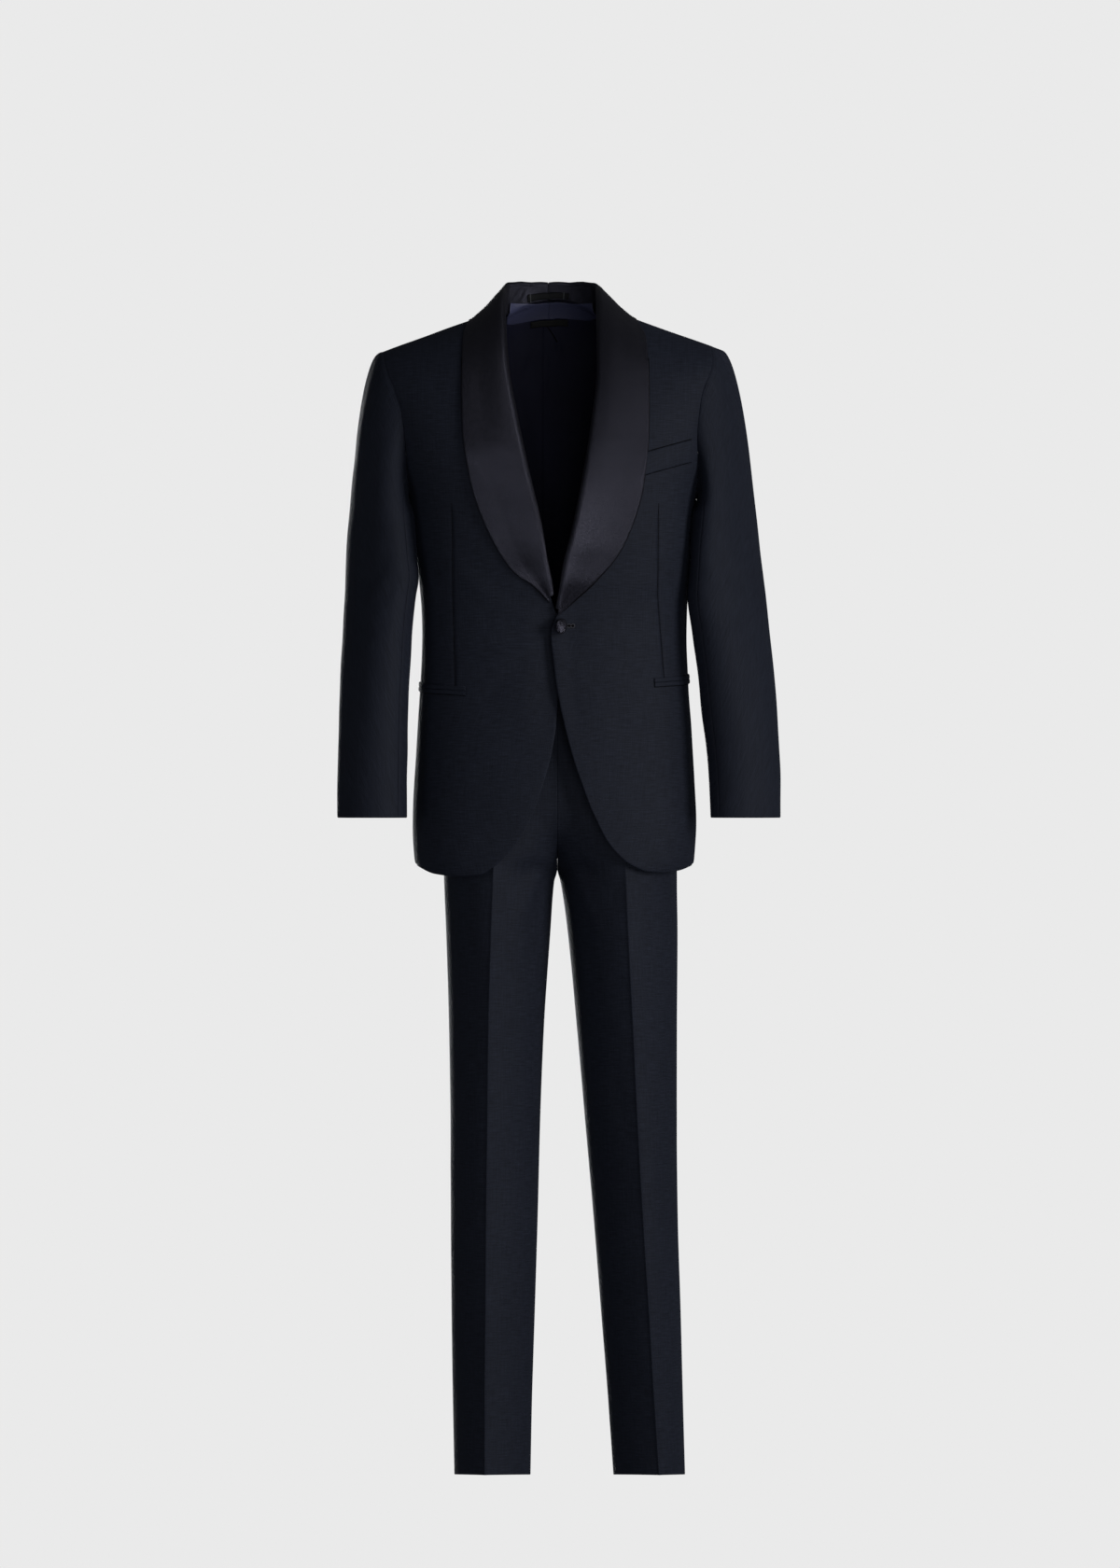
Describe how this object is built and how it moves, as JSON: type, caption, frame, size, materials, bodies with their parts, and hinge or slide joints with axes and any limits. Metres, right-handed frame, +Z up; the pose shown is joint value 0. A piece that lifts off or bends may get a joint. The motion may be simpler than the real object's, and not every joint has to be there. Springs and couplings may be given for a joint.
{
  "type": "tuxedo",
  "caption": "Shawl-collared dinner suit, jacket over trousers, filled out as worn, with the neck, cuffs and hems open.",
  "frame": {"origin": "between the shoulders, level with where the shoulder seams meet the collar, on the middle of the suit", "axes": "+X to the wearer's left, the front faces -Y, +Z up"},
  "size_m": [0.592, 0.2752, 1.6014],
  "materials": {
    "wool": "matt midnight wool with a fine slub",
    "satin": "soft satin",
    "lining": "smooth lining",
    "silk": "soft sheen",
    "label": "plain woven tape"
  },
  "bodies": {
    "root": {"jacket_front_right": "wool", "jacket_front_left": "wool", "jacket_back_right": "wool", "jacket_back_left": "wool", "jacket_side_right": "wool", "jacket_side_left": "wool", "top_sleeve_right": "wool", "top_sleeve_left": "wool", "under_sleeve_right": "wool", "under_sleeve_left": "wool", "shawl_collar_right": "satin", "shawl_collar_left": "satin", "neck_facing_right": "silk", "neck_facing_left": "silk", "back_lining_right": "lining", "back_lining_left": "lining", "neck_label": "label", "hanger_loop": "satin", "breast_welt": "wool", "hip_pocket_upper_jet_right": "wool", "hip_pocket_lower_jet_right": "wool", "hip_pocket_upper_jet_left": "wool", "hip_pocket_lower_jet_left": "wool", "front_button": "satin", "trouser_front_right": "wool", "trouser_front_left": "wool", "trouser_back_right": "wool", "trouser_back_left": "wool", "waistband_right": "wool", "waistband_left": "wool"}
  },
  "joints": []
}
